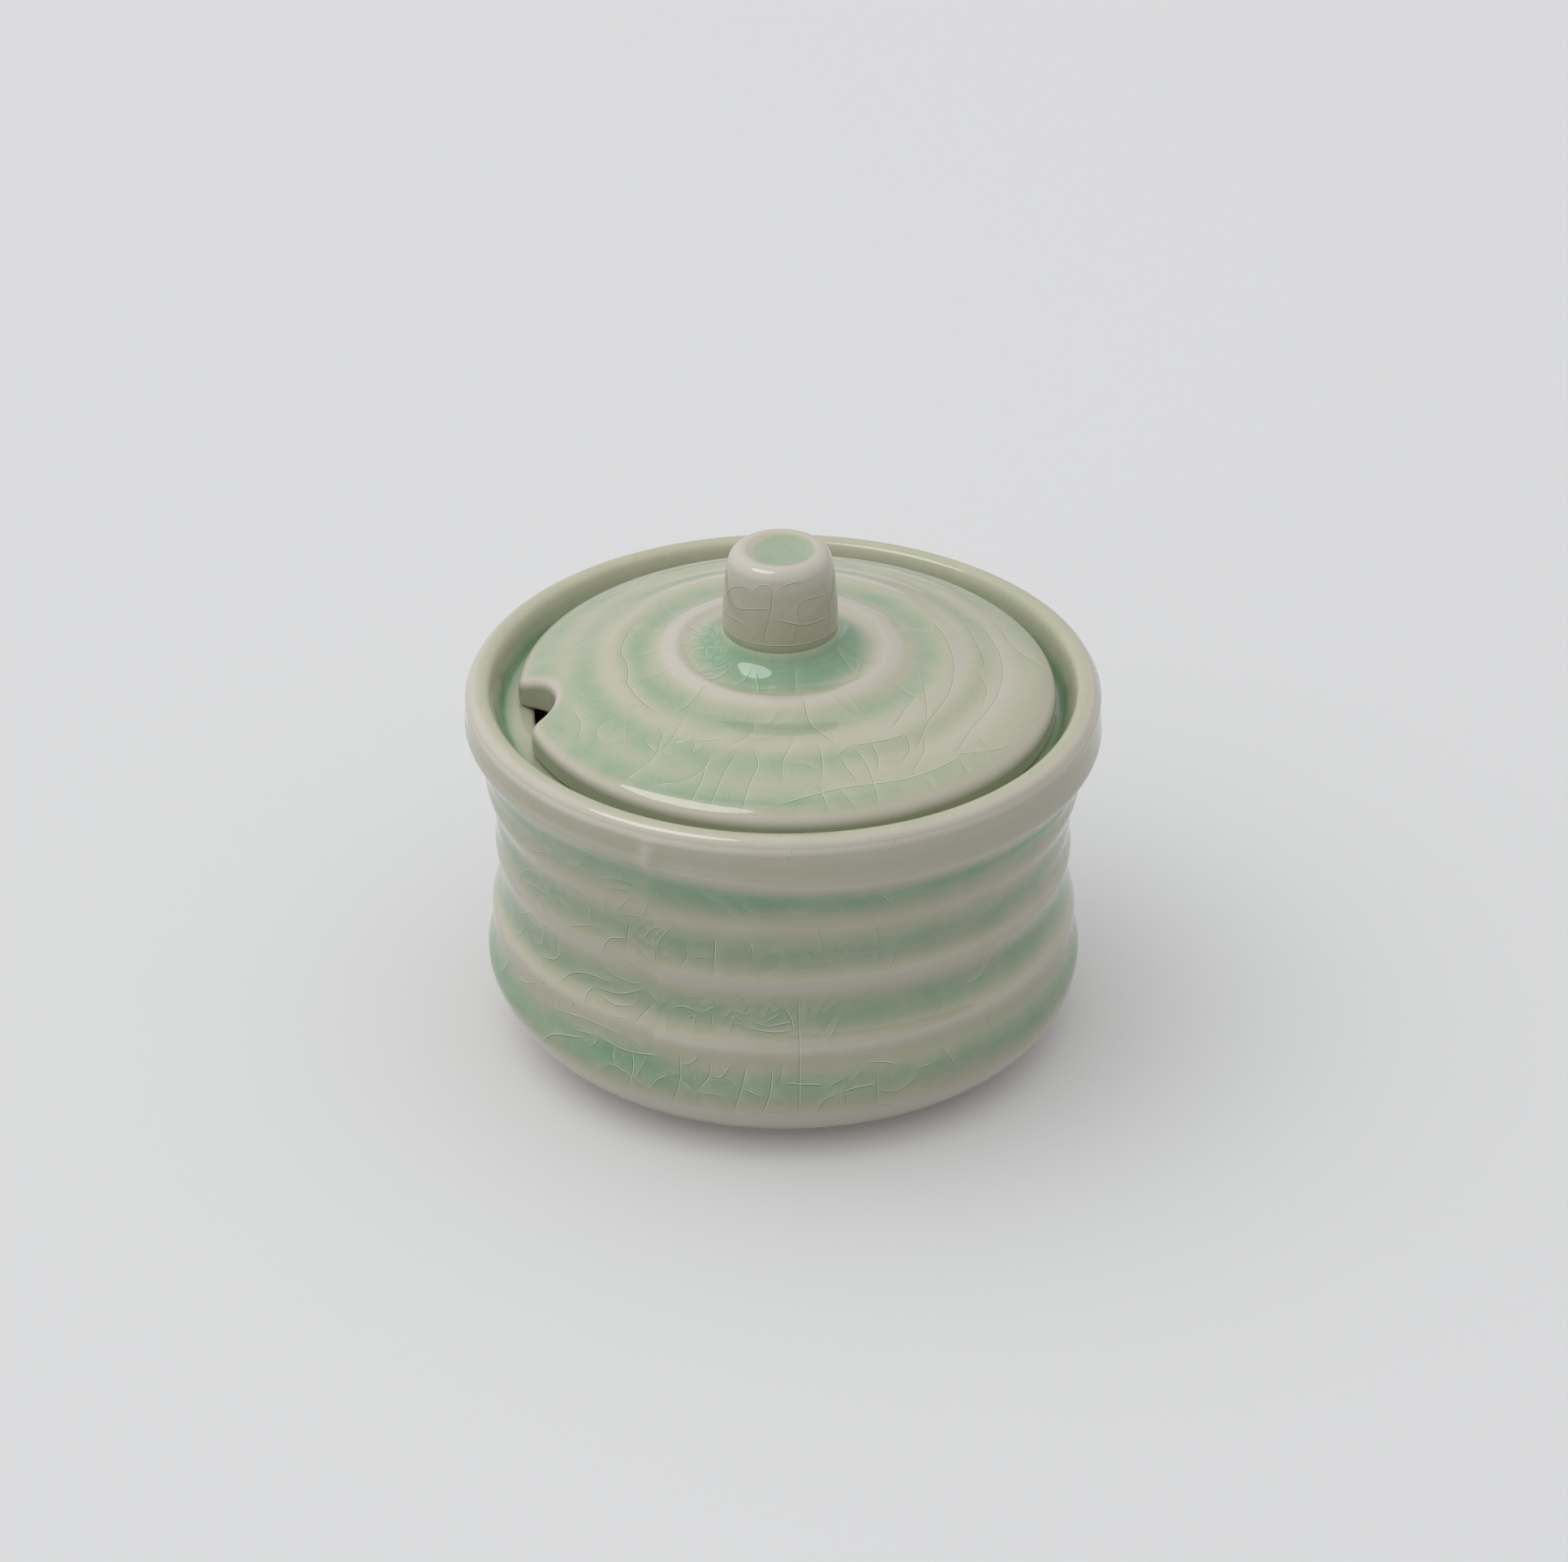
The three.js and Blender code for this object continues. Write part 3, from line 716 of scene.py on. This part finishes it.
def lid_rows(columns):
    """Points of the lid's skin from the middle underneath to the middle on top, with each point's
    distance in from the edge and each row's face."""
    outline, inward = lid_outline(columns)
    even = np.linspace(-math.pi, math.pi, columns, endpoint=False)
    core = CORE_RADIUS * np.column_stack([np.sin(even), -np.cos(even)])
    top_inset = outline + LID_ROUND * inward
    low_inset = outline + LID_ARRIS * inward
    middle = CORE_INSET + LID_ROUND
    made = []

    def row(plan, height, inset, face):
        made.append((np.column_stack([plan, height]), inset + np.zeros(columns), face))

    for share in np.linspace(0, 1, 11):
        row(core * share, lid_under(core * share), middle, UNDER)
    for share in np.linspace(0, 1, 22)[1:]:
        plan = core * (1 - share) + low_inset * share
        row(plan, lid_under(plan), CORE_INSET * (1 - share) + LID_ARRIS, UNDER)
    foot = lid_under(low_inset)
    for t in np.linspace(0, 1, 5)[1:]:
        inset = LID_ARRIS * (1 - t) ** 2
        row(outline + inset * inward, foot + LID_ARRIS * t * t, inset, UNDER)
    low_side, over, crest = foot + LID_ARRIS, lid_top(outline), lid_top(top_inset)
    high_side = over - 0.8 * LID_ROUND
    for t in np.linspace(0, 1, 8)[1:]:
        row(outline, low_side * (1 - t) + high_side * t, 0, EDGE)
    for t in np.linspace(0, 1, 12)[1:]:
        inset = LID_ROUND * t * t
        height = (1 - t) ** 2 * high_side + 2 * t * (1 - t) * over + t * t * crest
        row(outline + inset * inward, height, inset, UPPER)
    for share in np.linspace(1, 0, 46)[1:]:
        plan = core * (1 - share) + top_inset * share
        row(plan, lid_top(plan), LID_ROUND + CORE_INSET * (1 - share), UPPER)
    for share in np.linspace(1, 0, 60)[1:]:
        row(core * share, lid_top(core * share), middle, UPPER)
    points, insets, faces = zip(*made)
    return np.stack(points), np.stack(insets), np.array(faces)[:, None]


def lid_glaze(rows, inset, face):
    """Thickness of the glaze over the lid."""
    radius, bearing = polar(rows)
    share = lid_share(np.degrees(bearing))
    in_well = (1 - smoothstep(radius, 13.5, 15.5)) * smoothstep(radius, 9.0, 11.5) * np.cos(bearing)
    place = radius - 0.8 * in_well + 0.4 * waves(bearing, 33, (1, 2, 3)) * smoothstep(radius, 16, 24)
    pool = lid_left(place) * share + lid_right(place) * (1 - share)
    pool = pool + 0.25 * front_line(radius, bearing, 0.4)
    pool = pool * smoothstep(inset, 0.4, 1.8) * (face == UPPER) + 0.24 * (face < UPPER)
    pool = np.where(face == UPPER, pool, pool + 0.3 * (face == EDGE) * bump(radius, 32, 2.0))
    return np.clip(pool, 0, 1)


def lid_cracks(skin, run):
    cracks = Crackle(skin, LID_SEED)
    for stations in LID_CRACKS:
        cracks.draw(stations, run)
    field = (run(34), run(16))
    below = (skin.run[0] + 6, skin.run[0] + 32)
    # The front, the right, the left and the back.
    cracks.family(10, (-48, 40), field, 92, 9, (5, 11), 20, 0.7, 2.8)
    cracks.family(18, (-45, 75), (run(33), run(17)), 30, 40, (2.5, 6), 9, 0.6, 1.5)
    cracks.family(14, (60, 120), (run(33), run(18)), 70, 35, (2, 4), 6, 0.6, 1.5)
    cracks.family(9, (-100, -45), (run(33), run(17)), 60, 40, (4, 9), 12, 0.45, 3.0)
    cracks.family(24, (-70, -30), (run(33), run(24)), 30, 60, (1.2, 3), 4, 0.45, 0.9)
    cracks.family(30, (110, 270), field, 40, 45, (6, 14), 16, 0.5, 3.4)
    # Across and round the well, and the shattered jade on its left.
    cracks.family(9, (-60, 75), (run(13.4), run(9.2)), 90, 12, (4, 7), 14, 0.9, 1.8)
    cracks.family(7, (-70, 90), (run(14.4), run(12)), 5, 14, (4, 9), 14, 0.8, 1.2)
    cracks.family(90, (-122, -48), (run(13.4), run(9.0)), 60, 60, (0.9, 2.4), 4, 1.5, 0.45)
    # By the edge, and underneath.
    cracks.family(12, (-180, 180), (run(37.5), run(35)), 90, 14, (2, 4), 14, 0.5, 6)
    cracks.family(30, (-180, 180), below, 50, 60, (5, 12), 14, 0.5, 4)
    return cracks


def make_lid(columns=440):
    rows, inset, face = lid_rows(columns)
    pool = lid_glaze(rows, inset, face)
    drift = smoothstep(polar(rows)[0], KNOB_RADIUS, LID_RADIUS)
    rows[..., 0] += KNOB_X + (LID_X - KNOB_X) * drift
    skin = Skin(rows, pool, 0 * pool)
    on_top = face[:, 0] == UPPER
    reach, where = skin.reach[on_top][::-1], skin.run[on_top][::-1]

    def run(out):
        return float(np.interp(out, reach, where))

    finish_piece("celadon_lid", skin, lid_cracks(skin, run), "lid", "lid_disc")


# ---- Knob ----


def make_knob(columns=200):
    top = KNOB_TOP
    profile = spline(
        [
            (0, KNOB_BASE - 0.9), (5, KNOB_BASE - 0.9), (KNOB_RADIUS - 0.3, KNOB_BASE - 0.9),
            (KNOB_RADIUS + 0.03, KNOB_BASE), (KNOB_RADIUS + 0.02, top - 10.2), (8.0, top - 8.2),
            (7.85, top - 6.2), (7.65, top - 4.2), (7.4, top - 2.3), (7.1, top - 1.2), (6.55, top - 0.45),
            (5.9, top - 0.1),
            (5.3, top - 0.02), (4.8, top - 0.12), (4.2, top - 0.36), (3, top - 0.46), (0, top - 0.46),
        ],
        0.22,
    )
    bearing = np.linspace(-math.pi, math.pi, columns, endpoint=False)[None, :]
    radius, height = (profile[:, k : k + 1] + 0 * bearing for k in range(2))
    side = smoothstep(height, KNOB_BASE, KNOB_BASE + 2) * (1 - smoothstep(height, top - 3, top))
    shaped = radius * (1 + 0.008 * waves(bearing, 41, (1, 2, 3)) * side)
    x, y = shaped * np.sin(bearing), -shaped * np.cos(bearing)
    pool = 0.15 - 0.17 * smoothstep(height, top - 4.2, top - 2.4)
    dish = np.hypot(x - 0.45, y) + 0.2 * waves(bearing, 43, (2, 3))
    in_dish = (1 - smoothstep(dish, 3.9, 5.0)) * (height > top - 2)
    pool = pool * (1 - in_dish) + 0.66 * in_dish
    pool = pool + 0.12 * bump(dish, 5.1, 0.3) * (height > top - 2) + 0.2 * bump(height, KNOB_BASE + 0.1, 0.5)
    rows = np.stack([KNOB_X + x, y, height], axis=-1)
    skin = Skin(rows, np.clip(pool, 0, 1), 0 * pool)

    on_side = (profile[:, 0] > 6.6) & (profile[:, 1] > KNOB_BASE - 0.1)

    def run(level):
        return float(np.interp(level, profile[on_side, 1], skin.run[on_side]))

    def run_above(level):
        return run(KNOB_BASE + level)

    cracks = Crackle(skin, KNOB_SEED)
    base_run = run(KNOB_BASE + 0.5)
    for stations in KNOB_CRACKS:
        cracks.draw(stations, run_above, 1.1)
    cracks.family(8, (-60, 70), (base_run, run(KNOB_BASE + 3)), 90, 14, (2, 4), 14, 0.8, 1.3)
    cracks.family(6, (10, 80), (run(KNOB_BASE + 5), run(top - 4)), 80, 20, (3, 6), 14, 0.6, 2.0)
    cracks.family(16, (90, 270), (base_run, run(top - 4)), 60, 40, (3, 8), 12, 0.7, 2.0)
    finish_piece("celadon_knob", skin, cracks, "lid", "knob")


# ---- Materials ----


class Nodes:
    """Short calls for building a node tree."""

    def __init__(self, tree):
        self.tree = tree

    def put(self, socket, value):
        if isinstance(value, bpy.types.NodeSocket):
            self.tree.links.new(value, socket)
        else:
            socket.default_value = value

    def node(self, kind, settings=None, **inputs):
        made = self.tree.nodes.new("ShaderNode" + kind)
        for key, value in (settings or {}).items():
            setattr(made, key, value)
        for key, value in inputs.items():
            self.put(made.inputs[key.replace("_", " ")], value)
        return made

    def maths(self, operation, a, b=0.0, c=None, clamp=False):
        made = self.node("Math", {"operation": operation, "use_clamp": clamp})
        for socket, value in zip(made.inputs, (a, b, c)):
            if value is not None:
                self.put(socket, value)
        return made.outputs[0]

    def vector(self, operation, a, b=(0, 0, 0), scale=1.0):
        made = self.node("VectorMath", {"operation": operation})
        self.put(made.inputs[0], a)
        if operation == "SCALE":
            self.put(made.inputs["Scale"], scale)
        else:
            self.put(made.inputs[1], b)
        return made.outputs["Vector"]

    def noise(self, place, scale, detail=2.0, rough=0.5):
        return self.node("TexNoise", Vector=place, Scale=scale, Detail=detail, Roughness=rough).outputs["Fac"]

    def around_half(self, value, swing):
        """Noise brought to swing either side of nought."""
        return self.maths("MULTIPLY", self.maths("SUBTRACT", value, 0.5), swing)

    def fade(self, value, start, end, low=0.0, high=1.0):
        """Smooth step from low to high as value goes from start to end."""
        made = self.node("MapRange", {"interpolation_type": "SMOOTHSTEP"})
        names = ("Value", "From Min", "From Max", "To Min", "To Max")
        for key, number in zip(names, (value, start, end, low, high)):
            self.put(made.inputs[key], number)
        return made.outputs[0]

    def mix(self, factor, a, b):
        made = self.node("Mix", {"data_type": "RGBA"})
        for key, value in ((0, factor), (6, a), (7, b)):
            self.put(made.inputs[key], value)
        return made.outputs[2]

    def ramp(self, value, stops):
        made = self.node("ValToRGB", Fac=value)
        band = made.color_ramp
        while len(band.elements) < len(stops):
            band.elements.new(0.5)
        for element, (at, colour) in zip(band.elements, stops):
            element.position, element.color = at, colour
        return made.outputs["Color"]


def linear(red, green, blue):
    """Linear colour, with alpha, of an sRGB colour given in 0 to 255."""
    return (*(((c / 255 + 0.055) / 1.055) ** 2.4 for c in (red, green, blue)), 1)


THIN = linear(210, 204, 190)  # pale clay showing through thin glaze, a little pink
BUFF = linear(197, 195, 169)
OLIVE = linear(179, 188, 161)
JADE = linear(159, 181, 150)
DEEP = linear(136, 173, 138)
# SHARD: the cracks' pale lines, and also the painted light on one side of each crack.
SHARD = linear(232, 233, 212)
SHADOW = linear(96, 108, 80)
UPRIGHT_PAINTED_SHADE, LEVEL_PAINTED_LIGHT = 0.81, 1.13  # painted shade on steep and downward faces, painted light on level faces
SPECK = linear(96, 88, 66)
CLAY_DARK, CLAY_PALE = linear(196, 178, 152), linear(214, 200, 178)


def glaze(name):
    """Celadon over pale clay: colour by glaze thickness, cracks, specks and a soft gloss."""
    material = bpy.data.materials.new(name)
    material.use_nodes = True
    n = Nodes(material.node_tree)
    shader = material.node_tree.nodes["Principled BSDF"]
    place = n.vector("SCALE", n.node("TexCoord").outputs["Object"], scale=1 / MM)
    pool, bare, crack, painted_side_shading = (
        n.node("Attribute", {"attribute_name": key}).outputs["Fac"]
        for key in ("pool", "bare", "crack", "painted_side_shading")
    )

    streaks = n.around_half(n.noise(n.vector("MULTIPLY", place, (0.09, 0.09, 0.5)), 1.0, 3.0), 0.30)
    clouds = n.around_half(n.noise(place, 0.22, 4.0, 0.6), 0.60)
    grain = n.around_half(n.noise(place, 2.8, 3.0, 0.8), 0.64)
    wet = n.fade(pool, 0.05, 0.55, 0.25, 1.0)
    unevenness = n.maths("MULTIPLY", n.maths("ADD", n.maths("ADD", streaks, clouds), grain), wet)
    thickness = n.maths("ADD", pool, unevenness, clamp=True)
    stops = ((0.0, THIN), (0.22, BUFF), (0.48, OLIVE), (0.74, JADE), (1.0, DEEP))
    colour = n.ramp(thickness, stops)

    # Painted light on one side of each crack and painted shade on the other.
    depth = n.fade(pool, 0.0, 0.5, 0.5, 1.0)
    painted_light_side = n.maths("MULTIPLY", n.maths("MAXIMUM", painted_side_shading, 0.0), depth)
    painted_shade_side = n.maths("MULTIPLY", n.maths("MAXIMUM", n.maths("MULTIPLY", painted_side_shading, -1.0), 0.0), depth)
    colour = n.mix(n.maths("MULTIPLY", painted_light_side, 0.20), colour, SHARD)
    colour = n.mix(n.maths("MULTIPLY", painted_shade_side, 0.30), colour, DEEP)
    # The crack's pale line, then a painted shadow along one side of it.
    colour = n.mix(n.maths("MULTIPLY", crack, 0.80, clamp=True), colour, SHARD)
    colour = n.mix(n.maths("MULTIPLY", crack, -0.74, clamp=True), colour, SHADOW)

    dots = n.node("TexVoronoi", {"feature": "F1"}, Vector=place, Scale=0.24)
    chosen = n.fade(n.node("SeparateColor", Color=dots.outputs["Color"]).outputs["Red"], 0.90, 0.92)
    speck = n.maths("MULTIPLY", n.fade(dots.outputs["Distance"], 0.02, 0.05, 1, 0), chosen)
    colour = n.mix(n.maths("MULTIPLY", speck, 0.55), colour, SPECK)

    # Painted light and shade by which way a face points: darker on steep and downward faces, paler on level
    # ones.
    upward = n.node("SeparateXYZ", Vector=n.node("NewGeometry").outputs["Normal"]).outputs["Z"]
    colour = n.vector("SCALE", colour, scale=n.fade(upward, -0.05, 0.6, UPRIGHT_PAINTED_SHADE, LEVEL_PAINTED_LIGHT))

    clay = n.mix(n.noise(place, 3.0, 4.0), CLAY_DARK, CLAY_PALE)
    n.put(shader.inputs["Base Color"], n.mix(bare, colour, clay))
    gloss = n.fade(n.noise(place, 0.5, 2.0), 0.3, 0.7, 0.04, 0.07)
    n.put(shader.inputs["Roughness"], n.maths("ADD", n.maths("MULTIPLY", bare, 0.6), gloss))
    shader.inputs["IOR"].default_value = 1.5
    ripple = n.maths("MULTIPLY", n.noise(place, 0.30, 1.0), 0.035)
    relief = n.node("Bump", Height=ripple, Strength=1.0, Distance=MM)
    n.put(shader.inputs["Normal"], relief.outputs["Normal"])
    return material


# ---- Stage ----

VIEW_ELEVATION = math.radians(30.5)
VIEW_DISTANCE = 1.0
VIEW_WIDTH = 0.2221  # width of the picture at the pot, in metres
AIM = Vector((0.0001, 0, 0.0372))
SENSOR = 36.0
LIGHT_FROM = Vector((-0.40, -0.06, 0.915))
LIGHT_DISTANCE = 1.45
LIGHT_SIZE = 0.88
LIGHT_POWER = 0.9
SHINE_POWER = 7.7  # the same softbox as the glaze mirrors it, ...
SHINE_BEYOND = 0.02  # ... set a little further away
ZENITH = 0.86  # brightness of the surroundings overhead, falling to nothing at the horizon
LEFT = 0.41  # what is added towards the left
BEHIND = 0.45  # and what only the glaze mirrors, behind the pot
BACKDROP = 0.7  # least brightness past the floor's edge
WORLD_TINT = (0.985, 0.99, 1.0, 1)
FLOOR_REACH = 3.0  # from the middle to each side, in metres
FLOOR_TONE = (0.89, 0.89, 0.895, 1)
FLOOR_GLOW = 0.050  # light through the paper from below


def aimed(obj, location, target):
    obj.location = location
    obj.rotation_euler = (target - location).to_track_quat("-Z", "Y").to_euler()


def make_camera():
    data = bpy.data.cameras.new("camera")
    data.sensor_width = SENSOR
    data.lens = SENSOR * VIEW_DISTANCE / VIEW_WIDTH
    data.clip_start, data.clip_end = 0.05, 20
    camera = bpy.data.objects.new("camera", data)
    bpy.context.scene.collection.objects.link(camera)
    away = Vector((0, -math.cos(VIEW_ELEVATION), math.sin(VIEW_ELEVATION)))
    aimed(camera, AIM + away * VIEW_DISTANCE, AIM)
    bpy.context.scene.camera = camera


def make_light(name, power, distance):
    data = bpy.data.lights.new(name, "AREA")
    data.shape, data.size, data.energy = "DISK", LIGHT_SIZE, power
    light = bpy.data.objects.new(name, data)
    bpy.context.scene.collection.objects.link(light)
    aimed(light, AIM + LIGHT_FROM.normalized() * distance, AIM)
    return light


def make_world():
    """Pale surroundings that brighten smoothly from the horizon to overhead."""
    world = bpy.data.worlds.new("studio")
    bpy.context.scene.world = world
    world.use_nodes = True
    n = Nodes(world.node_tree)
    x, y, z = n.node("SeparateXYZ", Vector=n.node("TexCoord").outputs["Generated"]).outputs
    overhead = n.maths("MULTIPLY", n.maths("MAXIMUM", z, 0.0), ZENITH)
    lit = n.maths("ADD", overhead, n.fade(x, -0.9, 0.3, LEFT, 0))
    path = n.node("LightPath").outputs
    mirrored = n.fade(y, -0.5, 0.7, 0, BEHIND)
    lit = n.maths("ADD", lit, n.maths("MULTIPLY", mirrored, path["Is Glossy Ray"]))
    background = world.node_tree.nodes["Background"]
    background.inputs["Color"].default_value = WORLD_TINT
    backdrop = n.maths("MULTIPLY", path["Is Camera Ray"], BACKDROP)
    n.put(background.inputs["Strength"], n.maths("MAXIMUM", lit, backdrop))


def make_floor():
    mesh = bpy.data.meshes.new("floor")
    signs = ((-1, -1), (1, -1), (1, 1), (-1, 1))
    corners = [(x * FLOOR_REACH, y * FLOOR_REACH, 0) for x, y in signs]
    mesh.from_pydata(corners, [], [(0, 1, 2, 3)])
    floor = bpy.data.objects.new("floor", mesh)
    bpy.context.scene.collection.objects.link(floor)
    material = bpy.data.materials.new("paper")
    material.use_nodes = True
    shader = material.node_tree.nodes["Principled BSDF"]
    shader.inputs["Base Color"].default_value = FLOOR_TONE
    shader.inputs["Roughness"].default_value = 0.9
    shader.inputs["Emission Color"].default_value = (1, 1, 1, 1)
    shader.inputs["Emission Strength"].default_value = FLOOR_GLOW
    mesh.materials.append(material)


def main():
    bpy.context.scene.view_settings.view_transform = "Standard"
    make_camera()
    make_light("softbox", LIGHT_POWER, LIGHT_DISTANCE)
    make_light("softbox_shine", SHINE_POWER, LIGHT_DISTANCE + SHINE_BEYOND).visible_diffuse = False
    make_world()
    make_floor()
    make_pot()
    make_lid()
    make_knob()


main()
